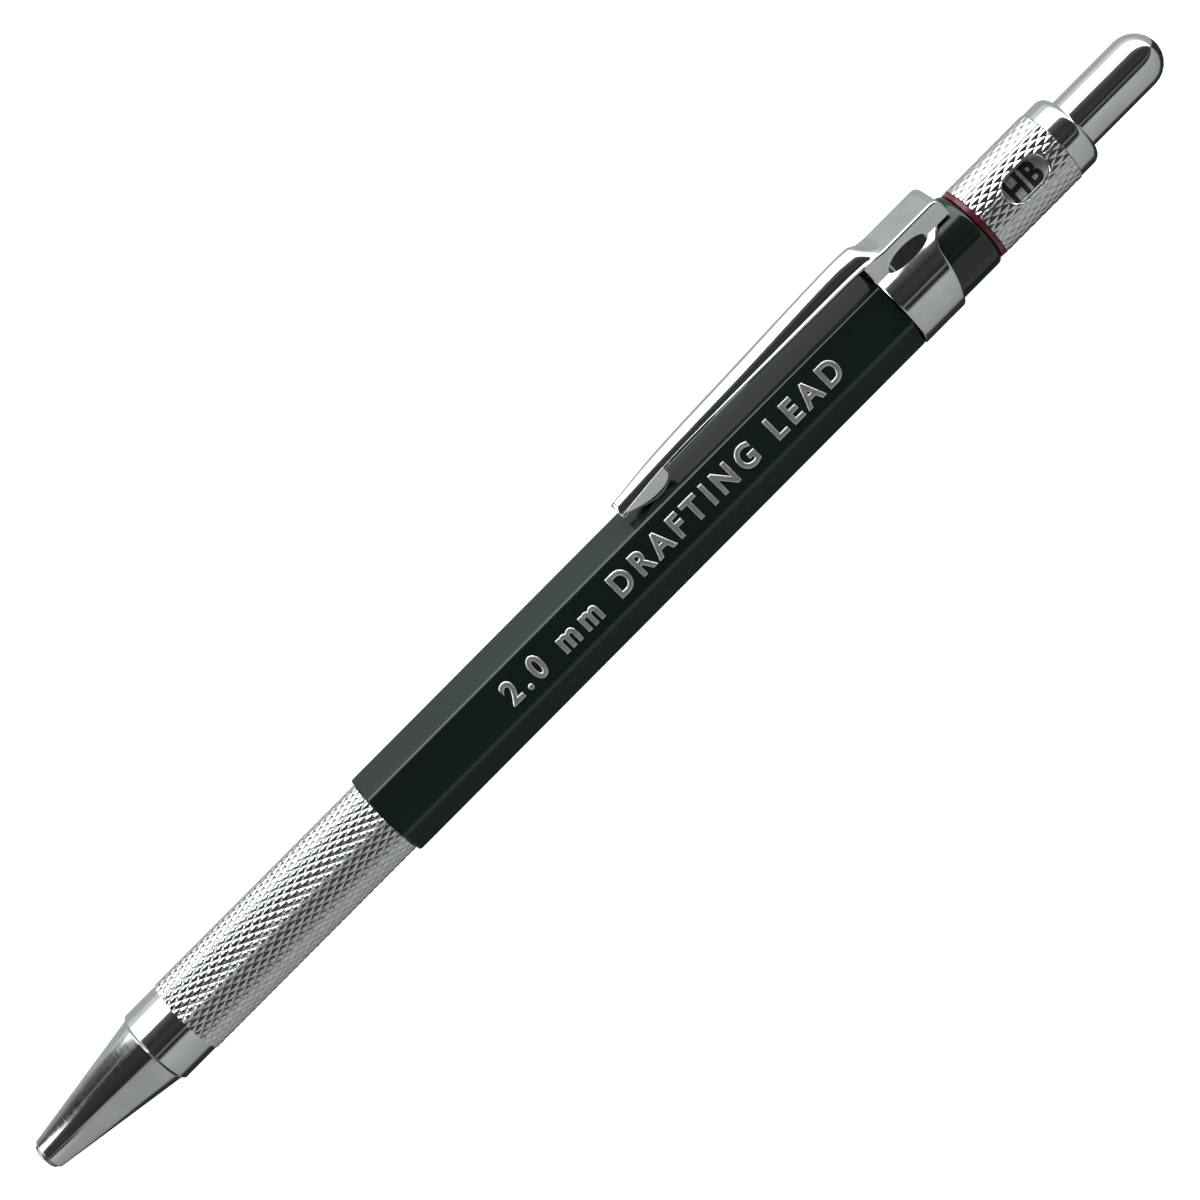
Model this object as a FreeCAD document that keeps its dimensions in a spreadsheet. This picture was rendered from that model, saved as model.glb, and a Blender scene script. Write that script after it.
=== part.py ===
import FreeCAD, Part
import math
import os
import Sketcher

# A clutch lead holder for 2 mm leads, 145 mm long, built from its separate pieces.
#
# Every piece is drawn along the holder: X runs from the tip (0) to the end of the push button,
# and Z is zero on the holder's axis. Each piece's Placement then moves it into the part's frame,
# whose origin is the middle of the barrel's bottom flat.

DRIVING_SIZES = {
    # where each visible piece ends, measured from the tip
    "lip_start": 0.42,
    "cone_end": 14.15,
    "smooth_end": 18.45,
    "grip_end": 44.45,
    "hex_end": 110.65,
    "tail_end": 121.0,
    "sleeve_start": 121.6,
    "sleeve_end": 131.45,
    "shoulder_start": 133.0,
    "collar_end": 134.15,
    "total_length": 145.0,
    # radii of the visible pieces
    "lip_radius": 1.5,
    "lip_full_radius": 1.717,
    "lip_bend": 0.43,
    "cone_radius": 3.7,
    "smooth_radius": 4.0,
    "knurl_radius": 4.1,
    "across_flats": 8.0,
    "hex_corner_radius": 0.57,
    "tail_radius": 4.2,
    "tail_edge_radius": 0.6,
    "front_edge_radius": 0.3,
    "ring_radius": 3.95,
    "sleeve_radius": 4.0,
    "collar_radius": 3.9,
    "collar_rim_radius": 2.95,
    "button_radius": 2.76,
    # collet, lead and lead tube
    "lead_radius": 0.99,
    "lead_start": 1.4,
    "lead_length": 130.0,
    "mouth_radius": 1.44,
    "throat_radius": 1.306,
    "throat_start": 2.9,
    "jaw_gap": 0.02,
    "jaw_finger_radius": 1.22,
    "jaw_angle": 111.0,
    "jaw_root": 13.0,
    "jaw_lip_height": 0.11,
    "jaw_relief": 0.04,
    "jaw_count": 3,
    "collet_radius": 1.8,
    "collet_length": 4.0,
    "push_stop": 9.4,
    "tube_start": 14.5,
    "tube_end": 131.5,
    "tube_radius": 1.5,
    "tube_bore": 1.15,
    # inside the grip and the barrel
    "spigot_end": 19.0,
    "spigot_radius": 3.05,
    "cone_bore": 2.2,
    "grip_bore": 2.0,
    "screw_radius": 2.8,
    "screw_end": 51.0,
    "bush_radius": 3.5,
    "bush_end": 53.0,
    "barrel_bore": 3.0,
    "tail_bore": 3.2,
    "tail_bore_start": 104.0,
    "spring_end": 81.9,
    "spring_mean_radius": 2.25,
    "spring_wire_radius": 0.25,
    "spring_pitch": 2.6,
    "washer_thickness": 0.4,
    "stop_length": 2.0,
    "stop_radius": 2.7,
    # grade dial and push button
    "core_radius": 3.1,
    "core_bore": 2.84,
    "core_end": 133.2,
    "drum_radius": 3.36,
    "drum_set_back": 0.25,
    "friction_set_back": 0.15,
    "friction_width": 0.55,
    "friction_angle": 335.0,
    "sleeve_bore": 3.42,
    "window_start": 124.4,
    "window_length": 5.3,
    "window_width": 3.4,
    "window_turn": 4.3,
    "button_start": 127.0,
    "button_bore": 2.3,
    "pointer_start": 135.0,
    "pointer_end": 141.7,
    "pointer_mouth": 1.12,
    "pointer_throat": 2.0,
    "pointer_floor": 1.0,
    "blade_thickness": 0.25,
    "blade_width": 2.4,
    # clip
    "clip_turn": 60.0,
    "sheet": 0.41,
    "band_rear": 116.24,
    "band_slant": 0.206,
    "hump_start": 113.4,
    "hump_end": 119.9,
    "hump_top": 6.2,
    "hump_width": 4.2,
    "hump_rear_bend": 0.85,
    "clip_split": 112.2,
    # clip arm: place along, half width, height of the edge and of the crown
    "arm_root_edge": 6.3,
    "arm_root_crown": 7.4,
    "arm_peak": 108.4,
    "arm_peak_half": 1.69,
    "arm_peak_edge": 6.4,
    "arm_peak_crown": 7.86,
    "arm_middle": 96.0,
    "arm_middle_half": 1.5,
    "arm_middle_edge": 6.3,
    "arm_middle_crown": 7.3,
    "arm_narrow": 85.5,
    "arm_narrow_half": 1.23,
    "arm_narrow_edge": 6.14,
    "arm_narrow_crown": 6.76,
    "arm_end": 79.3,
    "arm_end_half": 1.0,
    "arm_end_edge": 5.3,
    "arm_end_crown": 6.2,
    # clip lug
    "lug_start": 79.6,
    "lug_end": 85.6,
    "lug_width": 2.0,
    "lug_bend": 3.9,
    "lug_front_low": 5.35,
    "lug_front_high": 5.75,
    "lug_rear_low": 5.9,
    "lug_rear_high": 6.2,
    "clip_clearance": 0.07,
}
EASE = 0.02  # a slip fit between two pieces of one body
SLIDE = 0.03  # a sliding fit between two bodies
GAP = 0.05  # clear of a neighbour that is fitted end to end
RELIEF = 0.1  # a step that keeps a shoulder clear of the next one
SCREW_RELIEF = 0.6  # beyond the end of a thread


class Size:
    """A number together with the spreadsheet expression that works it out."""

    def __init__(self, value, text):
        self.value = value
        self.text = text

    def __add__(self, other):
        other = as_size(other)
        return Size(self.value + other.value, f"({self.text} + {other.text})")

    def __sub__(self, other):
        other = as_size(other)
        return Size(self.value - other.value, f"({self.text} - {other.text})")

    def __mul__(self, other):
        other = as_size(other)
        return Size(self.value * other.value, f"({self.text} * {other.text})")

    def __truediv__(self, other):
        other = as_size(other)
        return Size(self.value / other.value, f"({self.text} / {other.text})")

    def __neg__(self):
        return Size(-self.value, f"(0 - {self.text})")


def as_size(number):
    """Turn a plain number into a Size, and leave a Size as it is."""
    return number if isinstance(number, Size) else Size(float(number), repr(float(number)))


class Arc:
    """A round stretch between two corners of an outline, given one coordinate of its centre."""

    def __init__(self, along=None, across=None):
        self.along = None if along is None else as_size(along)
        self.across = None if across is None else as_size(across)

    def centre(self, start, end):
        """The centre that is as far from the start as from the end."""
        (x1, y1), (x2, y2) = start, end
        if self.along is not None:
            x = self.along.value
            y = ((x1 - x) ** 2 - (x2 - x) ** 2 + y1 ** 2 - y2 ** 2) / (2 * (y1 - y2))
        else:
            y = self.across.value
            x = ((y1 - y) ** 2 - (y2 - y) ** 2 + x1 ** 2 - x2 ** 2) / (2 * (x1 - x2))
        return FreeCAD.Vector(x, y, 0)


doc = FreeCAD.newDocument("lead_holder")
sheet = doc.addObject("Spreadsheet::Sheet", "Sizes")
size = {}
for row, (alias, number) in enumerate(DRIVING_SIZES.items(), start=1):
    sheet.set(f"A{row}", alias)
    sheet.set(f"B{row}", str(number))
    sheet.setAlias(f"B{row}", alias)
    size[alias] = Size(number, f"Sizes.{alias}")
doc.recompute()

pieces = []


def place(piece, turn=None):
    """Move a finished piece into the part's frame, turned about the holder's axis first."""
    pieces.append(piece)
    if turn is not None:
        piece.Placement.Rotation = FreeCAD.Rotation(FreeCAD.Vector(1, 0, 0), turn.value)
        piece.setExpression("Placement.Rotation.Angle", turn.text)
    middle = (size["grip_end"] + size["hex_end"]) / 2
    piece.setExpression("Placement.Base.x", (-middle).text)
    piece.setExpression("Placement.Base.z", (size["across_flats"] / 2).text)


def new_body(label):
    """An empty PartDesign body with its own label."""
    body = doc.addObject("PartDesign::Body", label)
    body.Label = label
    return body


def origin_plane(body, role):
    """One of the body's own origin planes."""
    return next(item for item in body.Origin.OriginFeatures if item.Role == role)


def outline_sketch(body, name, plane, outline, station=None):
    """A closed sketch through the outline's corners, each held to the origin by two distances."""
    sketch = body.newObject("Sketcher::SketchObject", name)
    sketch.AttachmentSupport = (origin_plane(body, plane), [""])
    sketch.MapMode = "FlatFace"
    if station is not None:
        sketch.setExpression("AttachmentOffset.Base.z", station.text)
    corners = [[as_size(value) for value in item] for item in outline if not isinstance(item, Arc)]
    places = [(across.value, up.value) for across, up in corners]
    arcs = {}
    passed = 0
    for item in outline:
        if isinstance(item, Arc):
            arcs[passed - 1] = item
        else:
            passed += 1
    ends = []
    for index, here in enumerate(places):
        there = places[(index + 1) % len(places)]
        start = FreeCAD.Vector(here[0], here[1], 0)
        end = FreeCAD.Vector(there[0], there[1], 0)
        if index in arcs:
            centre = arcs[index].centre(here, there)
            radius = start.distanceToPoint(centre)
            middle = centre + ((start + end) / 2 - centre).normalize() * radius
            curve = Part.Arc(start, middle, end)
            edge = sketch.addGeometry(curve, False)
            swapped = sketch.getPoint(edge, 1).distanceToPoint(start) > 1e-4
            ends.append((edge, 2, 1) if swapped else (edge, 1, 2))
        else:
            edge = sketch.addGeometry(Part.LineSegment(start, end), False)
            ends.append((edge, 1, 2))
    for index, (edge, first, last) in enumerate(ends):
        next_edge, next_first, _ = ends[(index + 1) % len(ends)]
        sketch.addConstraint(Sketcher.Constraint("Coincident", edge, last, next_edge, next_first))
        hold(sketch, "DistanceX", edge, first, corners[index][0])
        hold(sketch, "DistanceY", edge, first, corners[index][1])
        if index in arcs and arcs[index].along is not None:
            hold(sketch, "DistanceX", edge, 3, arcs[index].along)
        if index in arcs and arcs[index].across is not None:
            hold(sketch, "DistanceY", edge, 3, arcs[index].across)
    return sketch


def hold(sketch, direction, edge, point, distance):
    """Hold one point of a sketch at a distance from its origin that the sheet works out."""
    number = sketch.addConstraint(
        Sketcher.Constraint(direction, -1, 1, edge, point, distance.value)
    )
    sketch.setExpression(f"Constraints[{number}]", distance.text)


def revolve(body, name, sketch, kind="PartDesign::Revolution", angle=None):
    """Turn a sketch of the XZ plane about the holder's axis, adding or cutting."""
    feature = body.newObject(kind, name)
    feature.Profile = sketch
    feature.ReferenceAxis = (sketch, ["H_Axis"])
    feature.Angle = 360.0
    if angle is not None:
        feature.setExpression("Angle", as_size(angle).text)
        feature.Midplane = True
    return feature


def extrude(body, name, sketch, length, kind="PartDesign::Pad", midplane=False, backwards=False):
    """Pad or pocket a sketch by a length from the sheet."""
    feature = body.newObject(kind, name)
    feature.Profile = sketch
    feature.Midplane = midplane
    feature.Reversed = backwards
    feature.setExpression("Length", as_size(length).text)
    return feature


def cut_or_stop(body, feature, before):
    """Stop where a pocket or groove has pointed away from the solid and cut nothing."""
    doc.recompute()
    if feature.Shape.Volume >= before - 1e-6:
        raise RuntimeError(f"{body.Label}: {feature.Label} cuts nothing")


def turned_piece(label, outline, angle=None):
    """A piece made on a lathe: one outline turned about the holder's axis."""
    body = new_body(label)
    sketch = outline_sketch(body, f"{label}_outline", "XZ_Plane", outline)
    revolve(body, f"{label}_turned", sketch, angle=angle)
    return body


def tube_outline(start, end, inner, outer):
    """The outline of a plain tube or ring."""
    return [(start, inner), (start, outer), (end, outer), (end, inner)]


def round_edges(body, label, chosen, radius):
    """Fillet the edges of the body's last feature that a test picks out."""
    doc.recompute()
    base = body.Tip
    names = [
        f"Edge{number}"
        for number, edge in enumerate(base.Shape.Edges, start=1)
        if chosen(edge)
    ]
    if not names:
        raise RuntimeError(f"{label}: no edge to round")
    fillet = body.newObject("PartDesign::Fillet", label)
    fillet.Base = (base, names)
    fillet.setExpression("Radius", as_size(radius).text)
    return fillet


# --- nose and collet -------------------------------------------------------------------------


def make_nose_cone():
    """Chromed cone: tapered mouth for the jaws, a stop for the collet, and a screwed spigot."""
    s = size
    outline = [
        (s["lip_start"], s["mouth_radius"]),
        (s["lip_start"], s["lip_radius"]),
        Arc(along=s["lip_start"] + s["lip_bend"]),
        (s["lip_start"] + s["lip_bend"], s["lip_full_radius"]),
        (s["cone_end"], s["cone_radius"]),
        (s["cone_end"], s["spigot_radius"]),
        (s["spigot_end"], s["spigot_radius"]),
        (s["spigot_end"], s["cone_bore"]),
        (s["push_stop"], s["cone_bore"]),
        (s["push_stop"], s["collet_radius"] - RELIEF),
        (s["throat_start"] + 1.5, s["throat_radius"] + 0.3),
        (s["throat_start"] + 1.0, s["throat_radius"]),
        (s["throat_start"], s["throat_radius"]),
    ]
    place(turned_piece("nose_cone", outline))


def make_collet():
    """The collet: three spring jaws on a ring that screws onto the lead tube."""
    s = size
    gap = s["jaw_gap"]
    bite = s["lead_radius"] + gap
    jaw = [
        (0, bite),
        (0, bite + s["jaw_lip_height"]),
        Arc(along=s["lip_start"] - 0.07),
        (s["lip_start"] - 0.07, s["mouth_radius"] - gap),
        (s["lip_start"], s["mouth_radius"] - gap),
        (s["throat_start"], s["throat_radius"] - gap),
        (s["throat_start"] + 0.5, s["jaw_finger_radius"]),
        (s["jaw_root"] - GAP, s["jaw_finger_radius"]),
        (s["jaw_root"] - GAP, bite + s["jaw_relief"]),
        (s["throat_start"] + SCREW_RELIEF, bite + s["jaw_relief"]),
        (s["throat_start"] + 0.4, bite),
    ]
    count = int(s["jaw_count"].value)
    for number in range(count):
        body = turned_piece(f"collet_jaw_{number + 1}", jaw, angle=s["jaw_angle"])
        place(body, turn=Size(360.0 / count, "(360 / Sizes.jaw_count)") * number)
    ring_start = s["jaw_root"] + GAP
    ring_end = s["jaw_root"] + s["collet_length"]
    ring = [
        (ring_start, s["tube_bore"] - GAP),
        (ring_start, s["collet_radius"]),
        (ring_end, s["collet_radius"]),
        (ring_end, s["tube_radius"] + EASE),
        (s["tube_start"] - RELIEF, s["tube_radius"] + EASE),
        (s["tube_start"] - RELIEF, s["tube_bore"] - GAP),
    ]
    place(turned_piece("collet_ring", ring))


def make_lead_and_tube():
    """The lead, the brass tube that carries it, and the collar that the spring pushes on."""
    s = size
    lead_end = s["lead_start"] + s["lead_length"]
    lead = [
        (s["lead_start"], 0),
        (s["lead_start"], s["lead_radius"]),
        (lead_end, s["lead_radius"]),
        (lead_end, 0),
    ]
    place(turned_piece("lead", lead))
    tube = tube_outline(s["tube_start"], s["tube_end"], s["tube_bore"], s["tube_radius"])
    place(turned_piece("lead_tube", tube))
    bore = s["tube_radius"] + EASE
    stop_start = s["spring_end"] + RELIEF
    stop = tube_outline(stop_start, stop_start + s["stop_length"], bore, s["stop_radius"])
    place(turned_piece("tube_collar", stop))
    seat_start = s["button_start"] + RELIEF * 2
    seat = tube_outline(seat_start, s["tube_end"], bore, s["button_bore"] - SLIDE)
    place(turned_piece("cap_seat", seat))


def make_return_spring():
    """A compression spring between its seat washer and the tube's collar."""
    s = size
    seat_start = s["bush_end"] + EASE
    seat_end = seat_start + s["washer_thickness"]
    washer = tube_outline(seat_start, seat_end, s["tube_radius"] + 2 * RELIEF, s["barrel_bore"] - RELIEF)
    place(turned_piece("spring_seat", washer))

    coil_start = seat_end + s["spring_wire_radius"] + EASE
    coil_end = s["spring_end"] - s["spring_wire_radius"]
    helix = doc.addObject("Part::Helix", "spring_helix")
    helix.setExpression("Pitch", s["spring_pitch"].text)
    helix.setExpression("Height", (coil_end - coil_start).text)
    helix.setExpression("Radius", s["spring_mean_radius"].text)
    helix.SegmentLength = 0.0
    wire = doc.addObject("Part::Circle", "spring_wire")
    wire.setExpression("Radius", s["spring_wire_radius"].text)
    wire.Placement = FreeCAD.Placement(
        FreeCAD.Vector(s["spring_mean_radius"].value, 0, 0),
        FreeCAD.Rotation(FreeCAD.Vector(1, 0, 0), 90),
    )
    wire.setExpression("Placement.Base.x", s["spring_mean_radius"].text)
    coil = doc.addObject("Part::Sweep", "return_spring")
    coil.Label = "return_spring"
    coil.Sections = [wire]
    coil.Spine = (helix, ["Edge1"])
    coil.Solid = True
    coil.Frenet = True
    coil.Placement.Rotation = FreeCAD.Rotation(FreeCAD.Vector(0, 1, 0), 90)
    middle = (s["grip_end"] + s["hex_end"]) / 2
    coil.setExpression("Placement.Base.x", (coil_start - middle).text)
    coil.setExpression("Placement.Base.z", (s["across_flats"] / 2).text)
    pieces.append(coil)


# --- grip and barrel -------------------------------------------------------------------------


def make_grip():
    """Knurled metal grip with a smooth front collar, a socket for the cone and a rear screw."""
    s = size
    socket = s["spigot_radius"] + EASE
    outline = [
        (s["cone_end"], socket),
        (s["cone_end"], s["cone_radius"]),
        (s["cone_end"] + 0.3, s["smooth_radius"]),
        (s["smooth_end"], s["smooth_radius"]),
        (s["smooth_end"], s["knurl_radius"]),
        (s["grip_end"], s["knurl_radius"]),
        (s["grip_end"], s["screw_radius"]),
        (s["screw_end"], s["screw_radius"]),
        (s["screw_end"], s["grip_bore"]),
        (s["spigot_end"] + 0.6, s["grip_bore"]),
        (s["spigot_end"] + 0.6, socket),
    ]
    place(turned_piece("grip", outline))


def make_front_bush():
    """Brass bush in the front of the barrel that the grip screws into."""
    s = size
    thread = s["screw_radius"] + EASE
    outline = [
        (s["grip_end"] + 0.4, thread),
        (s["grip_end"] + 0.4, s["bush_radius"] - EASE),
        (s["bush_end"], s["bush_radius"] - EASE),
        (s["bush_end"], s["tube_radius"] + 0.25),
        (s["screw_end"] + 0.6, s["tube_radius"] + 0.25),
        (s["screw_end"] + 0.6, thread),
    ]
    place(turned_piece("front_bush", outline))


def make_barrel():
    """Hexagonal plastic barrel with a round tail, bored in three steps."""
    s = size
    body = new_body("barrel")
    half_flat = s["across_flats"] / 2
    corner = s["across_flats"] / math.sqrt(3)
    hexagon = []
    for step in range(6):
        angle = math.radians(60 * step)
        hexagon.append((corner * round(math.cos(angle), 12), corner * round(math.sin(angle), 12)))
    section = outline_sketch(body, "barrel_section", "YZ_Plane", hexagon, station=s["grip_end"])
    extrude(body, "barrel_hexagon", section, s["hex_end"] - s["grip_end"])
    round_edges(
        body,
        "barrel_corners",
        lambda edge: edge.BoundBox.XLength > half_flat.value and edge.BoundBox.YLength < 1e-3,
        s["hex_corner_radius"],
    )
    round_edges(
        body,
        "barrel_front_edge",
        lambda edge: edge.BoundBox.XMax < s["grip_end"].value + 1e-3,
        s["front_edge_radius"],
    )
    tail = outline_sketch(
        body,
        "barrel_tail_outline",
        "XZ_Plane",
        [
            (s["hex_end"] - 1, 0),
            (s["hex_end"] - 1, half_flat - 0.2),
            (s["hex_end"], half_flat - 0.2),
            (s["hex_end"], s["tail_radius"]),
            (s["tail_end"] - s["tail_edge_radius"], s["tail_radius"]),
            Arc(along=s["tail_end"] - s["tail_edge_radius"]),
            (s["tail_end"], s["tail_radius"] - s["tail_edge_radius"]),
            (s["tail_end"], 0),
        ],
    )
    revolve(body, "barrel_tail", tail)
    doc.recompute()
    before = body.Tip.Shape.Volume
    bore = outline_sketch(
        body,
        "barrel_bore_outline",
        "XZ_Plane",
        [
            (s["grip_end"] - 1, 0),
            (s["grip_end"] - 1, s["bush_radius"]),
            (s["bush_end"] + 0.2, s["bush_radius"]),
            (s["bush_end"] + 0.2, s["barrel_bore"]),
            (s["tail_bore_start"], s["barrel_bore"]),
            (s["tail_bore_start"], s["tail_bore"]),
            (s["tail_end"] + 1, s["tail_bore"]),
            (s["tail_end"] + 1, 0),
        ],
    )
    groove = revolve(body, "barrel_bore", bore, kind="PartDesign::Groove")
    cut_or_stop(body, groove, before)
    place(body)


# --- grade dial and push button ----------------------------------------------------------------


def make_grade_dial():
    """Rear core with its printed drum, marker ring, turning sleeve with a window, and end collar."""
    s = size
    fit = s["core_radius"] + SLIDE
    core = [
        (s["tail_bore_start"] + 0.2, s["core_bore"]),
        (s["tail_bore_start"] + 0.2, s["tail_bore"] - EASE),
        (s["tail_end"], s["tail_bore"] - EASE),
        (s["tail_end"], s["core_radius"]),
        (s["core_end"], s["core_radius"]),
        (s["core_end"], s["core_bore"]),
    ]
    place(turned_piece("rear_core", core))
    marker = tube_outline(s["tail_end"] + SLIDE, s["sleeve_start"] - GAP, fit, s["ring_radius"])
    place(turned_piece("marker_ring", marker))
    friction_start = s["sleeve_start"] + s["friction_set_back"]
    friction_end = friction_start + s["friction_width"]
    friction = tube_outline(friction_start, friction_end, fit, s["sleeve_bore"] - 2 * EASE)
    place(turned_piece("friction_ring", friction, angle=s["friction_angle"]))
    drum_start = friction_end + 2 * RELIEF
    drum = tube_outline(drum_start, s["sleeve_end"] - s["drum_set_back"], fit, s["drum_radius"])
    place(turned_piece("grade_drum", drum))

    sleeve = turned_piece(
        "grade_sleeve",
        tube_outline(s["sleeve_start"], s["sleeve_end"], s["sleeve_bore"], s["sleeve_radius"]),
    )
    doc.recompute()
    before = sleeve.Tip.Shape.Volume
    half = s["window_width"] / 2
    start = s["window_start"] + half
    end = s["window_start"] + s["window_length"] - half
    window = outline_sketch(
        sleeve,
        "window_outline",
        "XY_Plane",
        [
            (start, -half),
            (end, -half),
            Arc(along=end + 0.001),
            (end + half, 0),
            Arc(along=end),
            (end, half),
            (start, half),
            Arc(along=start),
            (start - half, 0),
            Arc(along=start - 0.001),
        ],
    )
    pocket = extrude(
        sleeve, "window", window, s["sleeve_radius"] * 2, kind="PartDesign::Pocket", backwards=True
    )
    cut_or_stop(sleeve, pocket, before)
    place(sleeve, turn=s["window_turn"])

    collar = [
        (s["sleeve_end"] + GAP, fit),
        (s["sleeve_end"] + GAP, s["collar_radius"]),
        (s["shoulder_start"], s["collar_radius"]),
        Arc(along=s["shoulder_start"]),
        (s["collar_end"], s["collar_rim_radius"]),
        (s["collar_end"], s["core_bore"]),
        (s["core_end"] + GAP, s["core_bore"]),
        (s["core_end"] + GAP, fit),
    ]
    place(turned_piece("end_collar", collar))


def make_push_button():
    """Hollow button that pulls off its seat, with a lead pointer and its blade inside."""
    s = size
    dome_start = s["total_length"] - s["button_radius"]
    button = [
        (s["button_start"], s["button_bore"]),
        (s["button_start"], s["button_radius"]),
        (dome_start, s["button_radius"]),
        Arc(along=dome_start),
        (s["total_length"], 0),
        (s["pointer_end"] + RELIEF, 0),
        (s["pointer_end"] + RELIEF, s["button_bore"]),
    ]
    place(turned_piece("push_button", button))

    cone_start = s["pointer_start"] + s["pointer_throat"]
    cone_end = s["pointer_end"] - s["pointer_floor"]
    pointer = turned_piece(
        "pointer_body",
        [
            (s["pointer_start"], s["pointer_mouth"]),
            (s["pointer_start"], s["button_bore"] - EASE),
            (s["pointer_end"], s["button_bore"] - EASE),
            (s["pointer_end"], 0),
            (cone_end, 0),
            (cone_start, s["pointer_mouth"]),
        ],
    )
    doc.recompute()
    before = pointer.Tip.Shape.Volume
    low, high = s["pointer_mouth"], s["pointer_mouth"] / 4
    blade_end = cone_start + (cone_end - cone_start) * 0.75
    rise = s["blade_thickness"]

    def blade_outline(extra):
        return [
            (cone_start - extra, low - extra),
            (blade_end + extra, high - extra),
            (blade_end + extra, high + rise + extra),
            (cone_start - extra, low + rise + extra),
        ]

    slot = outline_sketch(pointer, "blade_slot_outline", "XZ_Plane", blade_outline(SLIDE))
    slot_width = s["blade_width"] + RELIEF
    pocket = extrude(pointer, "blade_slot", slot, slot_width, kind="PartDesign::Pocket", midplane=True)
    cut_or_stop(pointer, pocket, before)
    place(pointer)

    blade = new_body("pointer_blade")
    edge = outline_sketch(blade, "pointer_blade_outline", "XZ_Plane", blade_outline(0))
    extrude(blade, "pointer_blade_plate", edge, s["blade_width"], midplane=True)
    place(blade)


# --- clip ------------------------------------------------------------------------------------


def arch_outline(half_width, edge, crown, thickness):
    """A crowned strip in section: two arcs and two narrow edges."""
    sag = crown - edge
    outer_centre = crown - (half_width * half_width + sag * sag) / (sag * 2)
    inner_half = half_width - thickness
    inner_sag = sag - thickness * 0.8
    inner_crown = crown - thickness
    inner_edge = inner_crown - inner_sag
    inner_centre = inner_crown - (inner_half * inner_half + inner_sag * inner_sag) / (inner_sag * 2)
    return [
        (-half_width, edge),
        Arc(across=outer_centre),
        (half_width, edge),
        (inner_half, inner_edge),
        Arc(across=inner_centre),
        (-inner_half, inner_edge),
    ]


def dee_outline(half_width, base, edge, crown):
    """A solid neck in section: flat below, straight sides and a crowned top."""
    sag = crown - edge
    centre = crown - (half_width * half_width + sag * sag) / (sag * 2)
    return [
        (-half_width, base),
        (-half_width, edge),
        Arc(across=centre),
        (half_width, edge),
        (half_width, base),
    ]


def make_clip_band():
    """The clip's fixed half: a sprung band round the tail, a box-shaped hump and the arm's root."""
    s = size
    body = new_body("clip_band")
    inner = s["tail_radius"] + EASE
    outer = inner + s["sheet"]
    ring_end = s["band_rear"] + 1.2
    band = tube_outline(s["hex_end"], ring_end, inner, outer)
    ring = outline_sketch(body, "band_outline", "XZ_Plane", band)
    revolve(body, "band", ring)
    doc.recompute()
    before = body.Tip.Shape.Volume
    reach = s["hump_top"]
    slant = outline_sketch(
        body,
        "band_slant_outline",
        "XZ_Plane",
        [
            (s["band_rear"] - s["band_slant"] * reach, -reach),
            (ring_end + 2, -reach),
            (ring_end + 2, reach),
            (s["band_rear"] + s["band_slant"] * reach, reach),
        ],
    )
    cut = extrude(body, "band_slant_cut", slant, reach * 2, kind="PartDesign::Pocket", midplane=True)
    cut_or_stop(body, cut, before)

    half = s["hump_width"] / 2
    hump = outline_sketch(
        body,
        "hump_outline",
        "XZ_Plane",
        [
            (s["hump_start"], s["tail_radius"] - 0.6),
            (s["hump_start"], s["hump_top"]),
            (s["hump_end"] - s["hump_rear_bend"], s["hump_top"]),
            Arc(along=s["hump_end"] - s["hump_rear_bend"]),
            (s["hump_end"], s["hump_top"] - s["hump_rear_bend"]),
            (s["hump_end"], s["tail_radius"] + 0.35),
            (s["band_rear"] + 1.3, s["tail_radius"] - 0.6),
        ],
    )
    extrude(body, "hump", hump, s["hump_width"], midplane=True)
    neck = [
        outline_sketch(
            body,
            "neck_root_section",
            "YZ_Plane",
            dee_outline(half - 0.05, s["tail_radius"] + 0.6, s["hump_top"] - 0.25, s["hump_top"] - 0.05),
            station=s["hump_start"] + 0.4,
        ),
        outline_sketch(
            body,
            "neck_front_section",
            "YZ_Plane",
            dee_outline(half - 0.2, s["tail_radius"] + 1.3, s["hump_top"] + 0.1, s["hump_top"] + 1.2),
            station=s["clip_split"],
        ),
    ]
    loft = body.newObject("PartDesign::AdditiveLoft", "neck")
    loft.Profile = neck[0]
    loft.Sections = [neck[1]]
    doc.recompute()
    before = body.Tip.Shape.Volume
    hollow = outline_sketch(
        body,
        "hump_hollow_outline",
        "XZ_Plane",
        [
            (s["hump_start"] + 0.6, 0),
            (s["hump_start"] + 0.6, s["hump_top"] - s["sheet"]),
            (s["hump_end"] - s["sheet"], s["hump_top"] - s["sheet"]),
            (s["hump_end"] - s["sheet"], 0),
        ],
    )
    hollow_width = s["hump_width"] - s["sheet"] * 2
    hollowing = extrude(body, "hump_hollow", hollow, hollow_width, kind="PartDesign::Pocket", midplane=True)
    cut_or_stop(body, hollowing, before)
    before = body.Tip.Shape.Volume
    clear = outline_sketch(
        body,
        "band_bore_outline",
        "XZ_Plane",
        [(s["hex_end"] - 1, 0), (s["hex_end"] - 1, inner), (s["tail_end"], inner), (s["tail_end"], 0)],
    )
    groove = revolve(body, "band_bore", clear, kind="PartDesign::Groove")
    cut_or_stop(body, groove, before)
    place(body, turn=-s["clip_turn"])


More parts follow.
